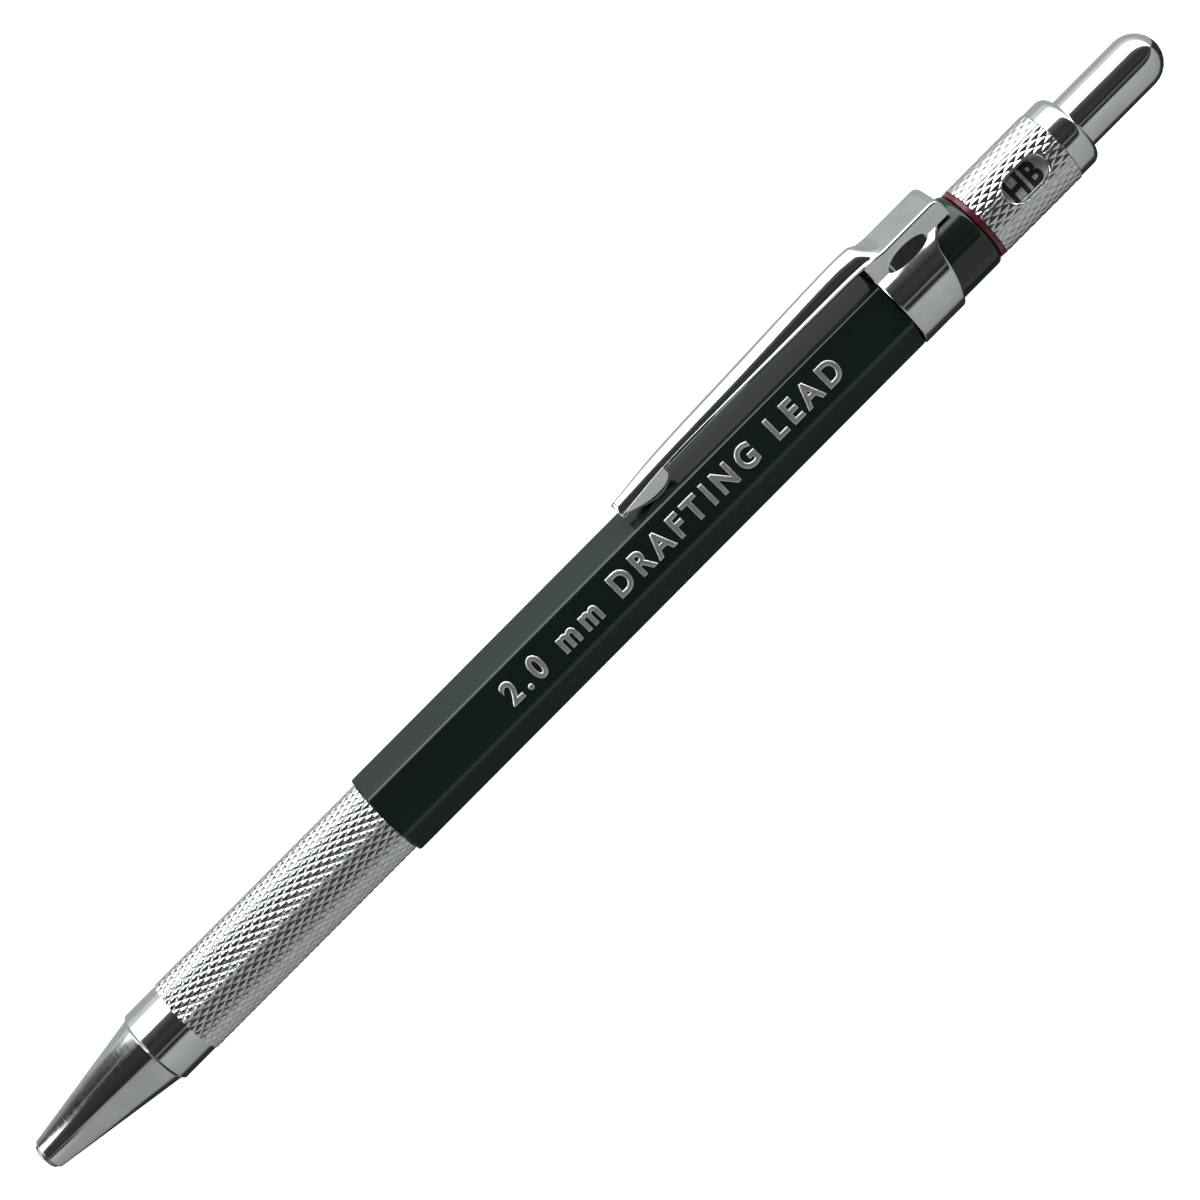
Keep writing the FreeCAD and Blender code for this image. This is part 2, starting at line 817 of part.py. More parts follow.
def make_clip_arm():
    """The clip's springing half: a crowned strip that narrows to a tip with a gripping lug."""
    s = size
    body = new_body("clip_arm")
    root_half = s["hump_width"] / 2 - 2 * RELIEF
    stations = [(s["clip_split"] - GAP, root_half, s["arm_root_edge"], s["arm_root_crown"])]
    for spot in ("arm_peak", "arm_middle", "arm_narrow", "arm_end"):
        stations.append((s[spot], s[spot + "_half"], s[spot + "_edge"], s[spot + "_crown"]))
    sections = [
        outline_sketch(
            body,
            f"arm_section_{number}",
            "YZ_Plane",
            arch_outline(half, edge, crown, s["sheet"]),
            station=station,
        )
        for number, (station, half, edge, crown) in enumerate(stations, start=1)
    ]
    loft = body.newObject("PartDesign::AdditiveLoft", "arm_strip")
    loft.Profile = sections[0]
    loft.Sections = sections[1:]
    loft.Ruled = True
    middle = (s["lug_start"] + s["lug_end"]) / 2
    flat = s["across_flats"] / 2 + s["clip_clearance"]
    lug = outline_sketch(
        body,
        "lug_outline",
        "XZ_Plane",
        [
            (s["lug_start"], s["lug_front_high"]),
            (s["lug_start"], s["lug_front_low"]),
            Arc(across=flat + s["lug_bend"]),
            (middle, flat),
            Arc(along=middle),
            (s["lug_end"], s["lug_rear_low"]),
            (s["lug_end"] - 3 * RELIEF, s["lug_rear_high"]),
        ],
    )
    extrude(body, "lug", lug, s["lug_width"], midplane=True)
    place(body, turn=-s["clip_turn"])


make_nose_cone()
make_collet()
make_lead_and_tube()
make_return_spring()
make_grip()
make_front_bush()
make_barrel()
make_grade_dial()
make_push_button()
make_clip_band()
make_clip_arm()

doc.recompute()
broken = [item.Label for item in doc.Objects if "Invalid" in item.State or "Error" in item.State]
if broken:
    raise RuntimeError(f"failed objects: {broken}")
for piece in pieces:
    if piece.Shape.isNull() or not piece.Shape.isValid() or piece.Shape.Volume <= 0:
        raise RuntimeError(f"{piece.Label} has no valid solid")

os.makedirs("parts", exist_ok=True)
for piece in pieces:
    piece.Shape.exportStep(f"parts/{piece.Label}.step")
    box = piece.Shape.BoundBox
    print(
        f"{piece.Label:16s} solids {len(piece.Shape.Solids)}  {piece.Shape.Volume:8.1f} mm3  "
        f"x {box.XMin:7.2f} to {box.XMax:7.2f}  z {box.ZMin:6.2f} to {box.ZMax:6.2f}"
    )
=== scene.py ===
# %% [markdown]
# # A lead holder with a turning grade dial
# The model is built in the order in which a workshop would think of it: the turned metal pieces,
# the knurled ones, the moulded barrel, the bent clip, the lettering, and then the studio round it.
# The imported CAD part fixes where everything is. Nearly every piece below stands for one or two CAD
# nodes and rides on the same body, so it moves with the real joints. Only the words are extra.

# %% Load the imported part
import math

import bmesh
import bpy
from mathutils import Matrix, Vector


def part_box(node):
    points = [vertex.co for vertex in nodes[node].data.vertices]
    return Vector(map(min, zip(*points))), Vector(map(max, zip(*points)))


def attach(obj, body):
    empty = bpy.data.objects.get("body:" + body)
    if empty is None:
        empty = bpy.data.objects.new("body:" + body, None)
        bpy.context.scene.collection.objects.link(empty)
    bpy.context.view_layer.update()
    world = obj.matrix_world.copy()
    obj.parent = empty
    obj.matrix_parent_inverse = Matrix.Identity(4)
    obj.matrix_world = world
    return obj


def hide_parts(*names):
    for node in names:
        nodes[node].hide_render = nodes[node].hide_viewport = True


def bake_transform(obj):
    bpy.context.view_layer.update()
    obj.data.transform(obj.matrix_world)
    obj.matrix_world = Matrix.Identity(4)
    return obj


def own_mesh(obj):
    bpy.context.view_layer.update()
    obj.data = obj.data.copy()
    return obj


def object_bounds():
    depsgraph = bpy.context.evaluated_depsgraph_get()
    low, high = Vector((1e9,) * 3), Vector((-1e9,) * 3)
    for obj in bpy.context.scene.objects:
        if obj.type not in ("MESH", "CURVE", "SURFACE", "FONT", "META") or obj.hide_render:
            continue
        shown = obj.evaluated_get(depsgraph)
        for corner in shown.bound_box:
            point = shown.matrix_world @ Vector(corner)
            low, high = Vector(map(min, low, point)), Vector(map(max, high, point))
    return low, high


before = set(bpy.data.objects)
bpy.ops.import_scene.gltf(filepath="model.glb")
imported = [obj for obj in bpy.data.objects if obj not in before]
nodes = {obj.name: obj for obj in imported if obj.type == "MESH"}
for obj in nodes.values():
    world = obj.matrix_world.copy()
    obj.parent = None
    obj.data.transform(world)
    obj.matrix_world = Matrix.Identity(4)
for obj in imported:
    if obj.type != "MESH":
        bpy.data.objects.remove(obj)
cad_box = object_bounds()

# %% [markdown]
# ## Places
# A holder is turned on a lathe, so its own measures are a distance from the tip, a radius and a turn
# about the axis. All shapes below are drawn in millimetres in that frame, and one matrix takes them to
# the row's metres. The start and the end of each piece are read from the frame.

# %% Millimetres from the tip
MM = 0.001
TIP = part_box("collet_jaw_1")[0].x
AXIS_HEIGHT = sum(corner.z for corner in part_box("push_button")) / 2
TO_ROW = Matrix.Translation((TIP, 0, AXIS_HEIGHT)) @ Matrix.Scale(MM, 4)


def reach(node):
    """Where a CAD node starts and ends, in millimetres from the tip."""
    return [(corner.x - TIP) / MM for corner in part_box(node)]


def radius_of(node):
    """The outer radius of a round CAD node, in millimetres."""
    low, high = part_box(node)
    return (high.y - low.y) / 2 / MM


def around(x, radius, turn):
    """The place at x along the axis, out by radius, turned from straight up towards the front."""
    return Vector((x, -radius * math.sin(turn), radius * math.cos(turn)))


print("whole length in mm:", round(reach("push_button")[1], 2))

# %% [markdown]
# ## From a drawing to a piece
# Every piece ends in the same few steps: its faces are made to look outwards, it is moved to the row,
# round surfaces are shaded smooth while edges sharper than a limit stay crisp, it is tied to its body,
# and the CAD nodes it stands for are hidden. Its finish is given later.

# %% Finish a mesh and tie it to the part
SHARP = math.radians(32)
WELD = 1e-4


def make_piece(name, mesh_in_progress, body, stands_for, sharp=SHARP):
    """Turn a bmesh drawn in millimetres into a piece that rides on a body."""
    bmesh.ops.remove_doubles(mesh_in_progress, verts=mesh_in_progress.verts, dist=WELD)
    bmesh.ops.recalc_face_normals(mesh_in_progress, faces=mesh_in_progress.faces)
    mesh = bpy.data.meshes.new(name)
    mesh_in_progress.to_mesh(mesh)
    open_edges = sum(1 for edge in mesh_in_progress.edges if not edge.is_manifold)
    mesh_in_progress.free()
    mesh.transform(TO_ROW)
    mesh.shade_smooth()
    mesh.set_sharp_from_angle(angle=sharp)
    piece = bpy.data.objects.new(name, mesh)
    bpy.context.scene.collection.objects.link(piece)
    if body:
        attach(piece, body)
    if stands_for:
        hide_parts(*stands_for)
    print(f"{name}: {len(mesh.polygons)} faces, {open_edges} open edges")
    return piece


# %% [markdown]
# ## Turned pieces
# The nose cone, the end collar, the red ring and the push button come off a lathe or out of a round
# mould. A cylinder from the menu would have dead sharp edges. Real ones have a small radius on every
# edge, which is what catches the light, so each outline lists its corners with their radii and is
# turned about the axis.

# %% Round an outline's corners and turn it
TURNS = 192
ARC_STEPS = 7
TINY = 1e-6


def rounded(corners, closed=True):
    """The outline through corners of (x, radius, corner radius), with an arc at each rounded corner."""
    points = []
    count = len(corners)
    for index, (x, r, bend) in enumerate(corners):
        here = Vector((x, r))
        if bend == 0 or (not closed and index in (0, count - 1)):
            points.append(here)
            continue
        back = Vector(corners[index - 1][:2]) - here
        ahead = Vector(corners[(index + 1) % count][:2]) - here
        half = back.angle(ahead) / 2
        middle = here + (back.normalized() + ahead.normalized()).normalized() * bend / math.sin(half)
        first = here + back.normalized() * bend / math.tan(half) - middle
        last = here + ahead.normalized() * bend / math.tan(half) - middle
        sweep = first.angle_signed(last)
        for step in range(ARC_STEPS + 1):
            points.append(middle + Matrix.Rotation(-sweep * step / ARC_STEPS, 2) @ first)
    return points


def turned(points, closed=True):
    """A bmesh of an outline turned about the axis. An open outline starts and ends on the axis."""
    shape = bmesh.new()
    rings = []
    for x, r in points:
        if r < TINY:
            rings.append([shape.verts.new((x, 0, 0))] * TURNS)
        else:
            rings.append([shape.verts.new(around(x, r, math.tau * k / TURNS)) for k in range(TURNS)])
    pairs = zip(rings, rings[1:] + rings[:1]) if closed else zip(rings, rings[1:])
    for ring, following in pairs:
        for k in range(TURNS):
            n = (k + 1) % TURNS
            corners = dict.fromkeys((ring[k], ring[n], following[n], following[k]))
            if len(corners) > 2:
                shape.faces.new(corners)
    return shape


print("steps round a turned piece:", TURNS)

# %% Nose cone
LIP_START = reach("nose_cone")[0]
CONE_END = reach("grip")[0]
CONE_TIP_RADIUS = 1.653
CONE_RADIUS = 3.70
LIP_BEND = 0.15
MOUTH = 1.44
THROAT_START, THROAT = 2.9, 1.306
SPIGOT_END, SPIGOT_RADIUS = reach("nose_cone")[1], 3.05
PUSH_STOP, CONE_BORE = 9.4, 2.2
EASED, BROKEN = 0.05, 0.1

nose_cone = make_piece(
    "nose_cone_turned",
    turned(
        rounded(
            [
                (LIP_START, MOUTH, 0),
                (LIP_START, CONE_TIP_RADIUS, LIP_BEND),
                (CONE_END, CONE_RADIUS, EASED),
                (CONE_END, SPIGOT_RADIUS, 0),
                (SPIGOT_END, SPIGOT_RADIUS, EASED),
                (SPIGOT_END, CONE_BORE, 0),
                (PUSH_STOP, CONE_BORE, 0),
                (PUSH_STOP, THROAT, 0),
                (THROAT_START, THROAT, 0),
            ]
        )
    ),
    "holder",
    ["nose_cone"],
)

# %% End collar
COLLAR_START, COLLAR_END = reach("end_collar")
COLLAR_RADIUS = radius_of("end_collar")
COLLAR_BORE = 2.84
COLLAR_BEND, COLLAR_EASED = 0.98, 0.075

end_collar = make_piece(
    "end_collar_turned",
    turned(
        rounded(
            [
                (COLLAR_START, COLLAR_BORE, 0),
                (COLLAR_START, COLLAR_RADIUS, COLLAR_EASED),
                (COLLAR_END, COLLAR_RADIUS, COLLAR_BEND),
                (COLLAR_END, COLLAR_BORE, 0),
            ]
        )
    ),
    "holder",
    ["end_collar"],
)

# %% Red marker ring
RING_START, RING_END = reach("marker_ring")
RING_RADIUS = radius_of("marker_ring")
RING_BORE = 3.13

marker_ring = make_piece(
    "marker_ring_moulded",
    turned(
        rounded(
            [
                (RING_START, RING_BORE, 0),
                (RING_START, RING_RADIUS, BROKEN),
                (RING_END, RING_RADIUS, BROKEN),
                (RING_END, RING_BORE, 0),
            ]
        )
    ),
    "holder",
    ["marker_ring"],
)

# %% Push button
BUTTON_START, BUTTON_END = reach("push_button")
BUTTON_RADIUS = radius_of("push_button")
BUTTON_BORE, BUTTON_BORE_END = 2.30, 141.8
DOME_BEND = BUTTON_RADIUS * 0.98

push_button = make_piece(
    "push_button_drawn",
    turned(
        rounded(
            [
                (BUTTON_BORE_END, 0, 0),
                (BUTTON_BORE_END, BUTTON_BORE, 0),
                (BUTTON_START, BUTTON_BORE, 0),
                (BUTTON_START, BUTTON_RADIUS, BROKEN),
                (BUTTON_END, BUTTON_RADIUS, DOME_BEND),
                (BUTTON_END, 0, 0),
            ],
            closed=False,
        ),
        closed=False,
    ),
    "button",
    ["push_button"],
)

# %% [markdown]
# ## Knurling
# The grip and the dial sleeve are rolled between two hardened wheels whose teeth cross, which presses
# two families of slanting grooves into the metal and leaves rows of diamonds. A bump texture would
# leave the outline smooth, and at this size the diamonds show against the background. So the mesh
# itself is laid out along the grooves: each cell of a slanting grid is one diamond, with a few lines
# near its borders for the groove walls. The tube is made one cell too long, and both ends are cut off
# square, as on the lathe.

# %% Roll a knurled tube
GROOVE_LINES = (0.0, 0.10, 0.30, 0.5, 0.70, 0.90, 1.0)
WALL_SHARE = 0.30
CROWN_SHARE = 0.18
PARTS_OF_CELL = 100
NEAR_CUT = 0.01
KNURL_SHARP = math.radians(24)


def rise(phase):
    """How high the metal stands at this phase across one family of grooves, from 0 to 1."""
    off = abs(phase - round(phase))
    if off < WALL_SHARE:
        return off / WALL_SHARE * (1 - CROWN_SHARE)
    return 1 - CROWN_SHARE + CROWN_SHARE * (off - WALL_SHARE) / (0.5 - WALL_SHARE)


def knurled(start, end, radius, ridges, pitch, depth):
    """A bmesh skin of diamonds between start and end, open at both cut ends."""
    shape = bmesh.new()
    spans = list(zip(GROOVE_LINES, GROOVE_LINES[1:]))
    made = {}

    def corner(a, b):
        """The vertex at this phase across both families of grooves, made once for its neighbours."""
        whole = math.floor((a + b) / (2 * ridges) + TINY)
        key = tuple(round((phase - whole * ridges) * PARTS_OF_CELL) for phase in (a, b))
        if key not in made:
            turn = math.pi * (a + b) / ridges
            out = radius - depth * (1 - min(rise(a), rise(b)))
            made[key] = shape.verts.new(around(start + pitch * (a - b) / 2, out, turn))
        return made[key]

    last_row = math.ceil(2 * (end - start) / pitch) + 2
    for total in range(2 * ridges):
        for step in range(-2, last_row):
            if (total + step) % 2:
                continue
            a, b = (total + step) // 2, (total - step) // 2
            for a0, a1 in spans:
                for b0, b1 in spans:
                    shape.faces.new(
                        [corner(a + a0, b + b0), corner(a + a1, b + b0),
                         corner(a + a1, b + b1), corner(a + a0, b + b1)]
                    )
    for place, side in ((start, -1), (end, 1)):
        everything = list(shape.verts) + list(shape.edges) + list(shape.faces)
        bmesh.ops.bisect_plane(
            shape, geom=everything, plane_co=(place, 0, 0), plane_no=(side, 0, 0), clear_outer=True
        )
    return shape


def carry_on(shape, place, outline):
    """Carry the cut end at place on through an outline of (x, radius), and give its last edges."""
    edges = [
        edge for edge in shape.edges
        if edge.is_boundary and all(abs(vert.co.x - place) < NEAR_CUT for vert in edge.verts)
    ]
    for x, r in outline:
        drawn = bmesh.ops.extrude_edge_only(shape, edges=edges)["geom"]
        for vert in drawn:
            if isinstance(vert, bmesh.types.BMVert):
                flat = Vector((0, vert.co.y, vert.co.z)).normalized() * r
                vert.co = Vector((x, flat.y, flat.z))
        edges = [e for e in drawn if isinstance(e, bmesh.types.BMEdge)]
    return edges


print("faces across one diamond:", len(GROOVE_LINES) - 1)

# %% [markdown]
# ### Grip
# The grip has a smooth band in front and is knurled from there to the barrel. The diamonds are longer
# than they are wide, because the grooves run more along the grip than round it.

# %% Grip
GRIP_START, GRIP_END = reach("grip")[0], reach("barrel")[0]
GRIP_RADIUS = radius_of("grip")
SMOOTH_END, SMOOTH_RADIUS = 18.45, 4.0
GRIP_BORE = 3.12
GRIP_RIDGES, GRIP_PITCH, GRIP_DEPTH = 34, 1.39, 0.12
CHAMFER = 0.3

grip_shape = knurled(SMOOTH_END, GRIP_END, GRIP_RADIUS, GRIP_RIDGES, GRIP_PITCH, GRIP_DEPTH)
front_of_grip = rounded(
    [
        (SMOOTH_END, SMOOTH_RADIUS, 0),
        (GRIP_START + CHAMFER, SMOOTH_RADIUS, EASED),
        (GRIP_START, SMOOTH_RADIUS - CHAMFER, EASED),
        (GRIP_START, GRIP_BORE, 0),
    ],
    closed=False,
)
front_rim = carry_on(grip_shape, SMOOTH_END, front_of_grip)
rear_rim = carry_on(grip_shape, GRIP_END, [(GRIP_END, GRIP_BORE)])
bmesh.ops.bridge_loops(grip_shape, edges=front_rim + rear_rim)
grip = make_piece("grip_knurled", grip_shape, "holder", ["grip"], sharp=KNURL_SHARP)

# %% [markdown]
# ### Grade sleeve
# The sleeve is knurled to its ends, and a window with round ends is milled through it, so that one
# grade shows on the drum inside. The window's rim is chamfered. The cutter is a solid of the window's
# shape that gets wider at the top, and a Boolean takes it out of the closed tube.

# %% Grade sleeve
SLEEVE_START, SLEEVE_END = reach("grade_sleeve")
SLEEVE_RADIUS, SLEEVE_BORE = radius_of("grade_sleeve"), 3.42
SLEEVE_RIDGES, SLEEVE_PITCH, SLEEVE_DEPTH = 30, 1.47, 0.11
WINDOW_START, WINDOW_LENGTH, WINDOW_WIDTH = 124.4, 5.3, 3.4
WINDOW_TURN = math.radians(4.3)
RIM_CHAMFER, CUTTER_REACH = 0.16, 1


def round_ended(length, width, steps=12):
    """The corners of a slot with round ends, about its own middle."""
    half, r = (length - width) / 2, width / 2
    ends = [(half, -math.pi / 2), (-half, math.pi / 2)]
    return [
        (middle + r * math.cos(begin + math.pi * k / steps), r * math.sin(begin + math.pi * k / steps))
        for middle, begin in ends
        for k in range(steps + 1)
    ]


def skin_over(rings, looped=False):
    """A bmesh skin over rings of as many places each, with a cap at both ends or looped into a tube."""
    shape = bmesh.new()
    made = [[shape.verts.new(place) for place in ring] for ring in rings]
    next_rings = made[1:] + made[:1] if looped else made[1:]
    for ring, following in zip(made, next_rings):
        for k in range(len(ring)):
            n = (k + 1) % len(ring)
            shape.faces.new([ring[k], ring[n], following[n], following[k]])
    if not looped:
        shape.faces.new(made[0])
        shape.faces.new(made[-1])
    return shape


sleeve_shape = knurled(SLEEVE_START, SLEEVE_END, SLEEVE_RADIUS, SLEEVE_RIDGES, SLEEVE_PITCH, SLEEVE_DEPTH)
ends = [
    carry_on(sleeve_shape, place, [(place, SLEEVE_RADIUS - SLEEVE_DEPTH), (place, SLEEVE_BORE)])
    for place in (SLEEVE_START, SLEEVE_END)
]
bmesh.ops.bridge_loops(sleeve_shape, edges=ends[0] + ends[1])
grade_sleeve = make_piece(
    "grade_sleeve_knurled", sleeve_shape, "dial", ["grade_sleeve"], sharp=KNURL_SHARP
)

window_turn = Matrix.Rotation(WINDOW_TURN, 3, "X")
window_rings = [
    [
        window_turn @ Vector((WINDOW_START + WINDOW_LENGTH / 2 + x, y, height))
        for x, y in round_ended(WINDOW_LENGTH + 2 * wider, WINDOW_WIDTH + 2 * wider)
    ]
    for height, wider in (
        (SLEEVE_BORE - CUTTER_REACH, -RIM_CHAMFER),
        (SLEEVE_RADIUS - 2 * RIM_CHAMFER, -RIM_CHAMFER),
        (SLEEVE_RADIUS + RIM_CHAMFER, 2 * RIM_CHAMFER),
    )
]
cutter = make_piece("window_cutter", skin_over(window_rings), None, None)
cut = grade_sleeve.modifiers.new("window", "BOOLEAN")
cut.object, cut.operation, cut.solver = cutter, "DIFFERENCE", "EXACT"
sleeve_mesh = bpy.data.meshes.new_from_object(
    grade_sleeve.evaluated_get(bpy.context.evaluated_depsgraph_get())
)
grade_sleeve.modifiers.clear()
grade_sleeve.data = sleeve_mesh
bpy.data.objects.remove(cutter)
print("sleeve faces after the window:", len(sleeve_mesh.polygons))

# %% [markdown]
# ## Barrel
# The barrel is moulded plastic: six flats that meet in small radii, and a plain round tail for the
# clip's band. It could be a cylinder with six sides and a bevel. Here each ring of places is worked
# out from the flats and the corner radius, so the highlight that runs along each corner is even.

# %% Barrel
BARREL_START, BARREL_END = reach("barrel")
HEX_END = reach("clip_band")[0]
HALF_FLATS = 4.0
CORNER_RADIUS = 0.57
END_EDGE = 0.3
TAIL_RADIUS, TAIL_EDGE = 4.2, 0.6
BUSH_BORE, BUSH_END, MAIN_BORE, TAIL_BORE, TAIL_BORE_START = 3.5, 53.0, 3.0, 3.2, 104.0
CORNER_STEPS, FLAT_STEPS, QUARTER_STEPS = 10, 10, 6


def six_flats(x, inset):
    """One ring of places round the six flats, all drawn in by the inset."""
    out = (HALF_FLATS - CORNER_RADIUS) / math.cos(math.pi / 6)
    bend = CORNER_RADIUS - inset
    ring = []
    for k in range(6):
        towards = math.pi / 6 + k * math.pi / 3
        middle = around(0, out, towards)
        for step in range(CORNER_STEPS + 1):
            lean = towards + math.pi / 3 * (step / CORNER_STEPS - 0.5)
            ring.append(middle + around(x, bend, lean))
        first = ring[-1]
        nearby = towards + math.pi / 3
        last = around(x, out, nearby) + around(0, bend, nearby - math.pi / 6)
        ring += [first.lerp(last, step / FLAT_STEPS) for step in range(1, FLAT_STEPS)]
    return ring


FLAT_RING = six_flats(0, 0)


def round_ring(x, radius):
    """A round ring with its places at the same turns as those of the six flats."""
    return [Vector((x, *(place.yz.normalized() * radius))) for place in FLAT_RING]


QUARTER = [math.pi / 2 * step / QUARTER_STEPS for step in range(QUARTER_STEPS + 1)]
rolled_in = [(END_EDGE * (1 - math.sin(t)), END_EDGE * (1 - math.cos(t))) for t in QUARTER]
barrel_rings = [round_ring(BARREL_START, BUSH_BORE)]
barrel_rings += [six_flats(BARREL_START + back, inwards) for inwards, back in rolled_in]
barrel_rings += [six_flats(HEX_END - back, inwards) for inwards, back in reversed(rolled_in)]
barrel_rings += [round_ring(HEX_END, TAIL_RADIUS)]
barrel_rings += [
    round_ring(BARREL_END - TAIL_EDGE * (1 - math.sin(t)), TAIL_RADIUS - TAIL_EDGE * (1 - math.cos(t)))
    for t in QUARTER
]
barrel_rings += [
    round_ring(BARREL_END, TAIL_BORE),
    round_ring(TAIL_BORE_START, TAIL_BORE),
    round_ring(TAIL_BORE_START, MAIN_BORE),
    round_ring(BUSH_END, MAIN_BORE),
    round_ring(BUSH_END, BUSH_BORE),
]
barrel_shape = skin_over(barrel_rings, looped=True)
barrel = make_piece("barrel_moulded", barrel_shape, "holder", ["barrel"])

# %% [markdown]
# ## Pocket clip
# The clip is one strip of spring steel. A band holds the barrel's tail, two walls rise from it and
# carry a flat box, and the box runs forward into a crowned arm with a narrow rim along both edges.
# At the tip small leaves are folded down to the barrel. Sheet metal is easiest as a skin of lines
# across and along, given its thickness afterwards by a Solidify modifier. A line across the clip runs
# crown, rim, wall and band, and each of those is a rule that depends on the place along the clip.

# %% Rules for the clip's cross-section
SHEET = 0.41
CLIP_TURN = Matrix.Rotation(math.radians(-60), 3, "X")
ARM_START = reach("clip_arm")[0]
BAND_START = HEX_END
BOX_END = reach("clip_band")[1]
ARM_STATIONS = (  # place along, half width, height of the edge, height of the crown
    (ARM_START, 1.0, 5.4, 6.35),
    (85.5, 1.2, 6.15, 6.95),
    (96.0, 1.42, 6.45, 7.4),
    (108.4, 1.62, 6.58, 7.9),
    (112.15, 1.75, 6.5, 7.75),
    (BOX_END, 1.75, 6.3, 7.5),
)
RIDGE, STEEPEST = math.radians(14), math.radians(72)
BOX_TOP, BOX_HALF, BOX_BEND = 6.2, 2.1, 0.25
BOX_REAR_BEND = 0.85
BAND_RADIUS = 4.63
WALL_FOOT = math.sqrt(BAND_RADIUS**2 - BOX_HALF**2)
FILLET_TOP, FILLET_FOOT_HALF = 5.35, 2.68
FILLET_MIDDLE, FILLET_LENGTH = 114.65, 4.9
REAR_PLANE, REAR_SLANT = 116.24, 0.206
REAR_SWEEP, SWEEP_TURN = 1.3, math.radians(28)
RIM_NARROWEST, RIM_WIDENS_BY, RIM_DROOP = 0.03, 0.30, 0.3
RIM_WIDENS = (86, 107)
BOX_FORMS = (BAND_START + 0.2, BAND_START + 2.7)
UPPER_WALL, LEAST_WALL, LEAST_FILLET = 0.3, 0.1, 0.02


def smooth(value, low, high):
    """0 below low, 1 above high, and an even curve between."""
    part = min(1, max(0, (value - low) / (high - low)))
    return part * part * (3 - 2 * part)


def station(x):
    """Half width, edge height and crown height of the arm at x, on a smooth curve through the table."""
    rows = ARM_STATIONS
    k = max(1, min(len(rows) - 2, sum(1 for row in rows if row[0] < x) - 1))
    before, a, b, after = rows[k - 1], rows[k], rows[k + 1], rows[min(k + 2, len(rows) - 1)]
    if x < rows[1][0]:
        before, a, b, after = rows[0], rows[0], rows[1], rows[2]
    part = (x - a[0]) / (b[0] - a[0])
    values = []
    for column in (1, 2, 3):
        slope_a = (b[column] - before[column]) / (b[0] - before[0]) * (b[0] - a[0])
        slope_b = (after[column] - a[column]) / (after[0] - a[0]) * (b[0] - a[0])
        values.append(
            (2 * part**3 - 3 * part**2 + 1) * a[column] + (part**3 - 2 * part**2 + part) * slope_a
            + (3 * part**2 - 2 * part**3) * b[column] + (part**3 - part**2) * slope_b
        )
    return values


HALF_CROWN, RIM_STEPS, WALL_STEPS, BAND_STEPS = 12, 4, 10, 56


def crown_line(x):
    """Places across the arm or the box at x, rim to rim, as (side, height)."""
    half, edge, crown = station(x)
    rim = RIM_NARROWEST + RIM_WIDENS_BY * smooth(x, *RIM_WIDENS)
    boxed = smooth(x, *BOX_FORMS)
    dip = 0.0
    if x > BOX_END - BOX_REAR_BEND:
        dip = BOX_REAR_BEND - math.sqrt(max(0, BOX_REAR_BEND**2 - (x - BOX_END + BOX_REAR_BEND) ** 2))
    line = []
    for k in range(-HALF_CROWN - RIM_STEPS, HALF_CROWN + RIM_STEPS + 1):
        sign, step = (1 if k >= 0 else -1), abs(k)
        if step <= HALF_CROWN:
            lean = RIDGE + (STEEPEST - RIDGE) * step / HALF_CROWN
            across = (math.sin(lean) - math.sin(RIDGE)) / (math.sin(STEEPEST) - math.sin(RIDGE))
            up = (math.cos(lean) - math.cos(STEEPEST)) / (math.cos(RIDGE) - math.cos(STEEPEST))
            arm = (half * across, edge + (crown - edge) * up)
            box = ((BOX_HALF - BOX_BEND) * step / HALF_CROWN, BOX_TOP)
        else:
            part = (step - HALF_CROWN) / RIM_STEPS
            arm = (half + rim * part, edge - RIM_DROOP * rim * part * part)
            turn = math.pi / 2 * part
            box = (
                BOX_HALF - BOX_BEND * (1 - math.sin(turn)),
                BOX_TOP - BOX_BEND * (1 - math.cos(turn)),
            )
        side = arm[0] + (box[0] - arm[0]) * boxed
        height = arm[1] + (box[1] - arm[1]) * boxed
        line.append((sign * side, height - dip))
    return line


def wall_line(x, top):
    """Places down one wall from the rim, over a fillet with an arched top, to the band or the foot."""
    arch = math.sqrt(max(0, 1 - ((x - FILLET_MIDDLE) * 2 / FILLET_LENGTH) ** 2))
    foot_side = BOX_HALF + (FILLET_FOOT_HALF - BOX_HALF) * arch
    foot = Vector((foot_side, math.sqrt(BAND_RADIUS**2 - foot_side**2)))
    break_height = WALL_FOOT + LEAST_FILLET + (FILLET_TOP - WALL_FOOT) * arch
    break_at = Vector((BOX_HALF, min(break_height, top[1] - LEAST_WALL)))
    line = []
    for step in range(1, WALL_STEPS + 1):
        part = step / WALL_STEPS
        if part <= UPPER_WALL:
            place = Vector(top).lerp(break_at, part / UPPER_WALL)
        else:
            place = break_at.lerp(foot, (part - UPPER_WALL) / (1 - UPPER_WALL))
        line.append(place)
    return line


print("arm from", round(ARM_START, 1), "to the box's end at", round(BOX_END, 1))

# %% Draw the clip's skin
BAND_END = REAR_PLANE + REAR_SLANT * WALL_FOOT + REAR_SWEEP
ARM_ROWS, BAND_ROWS, BOX_ROWS = 64, 26, 5
arm_places = [ARM_START + (BAND_START - ARM_START) * k / ARM_ROWS for k in range(ARM_ROWS)]
band_places = [BAND_START + (BAND_END - BAND_START) * k / BAND_ROWS for k in range(BAND_ROWS)]
straight = [BAND_END + (BOX_END - BOX_REAR_BEND - BAND_END) * k / BOX_ROWS for k in range(BOX_ROWS)]
bent = [BOX_END - BOX_REAR_BEND * (1 - math.sin(t)) for t in QUARTER]

clip_shape = bmesh.new()


def clip_vert(x, side, height):
    """A vertex at x, to the side and out from the axis, in the clip's own turned frame."""
    return clip_shape.verts.new(CLIP_TURN @ Vector((x, side, height)))


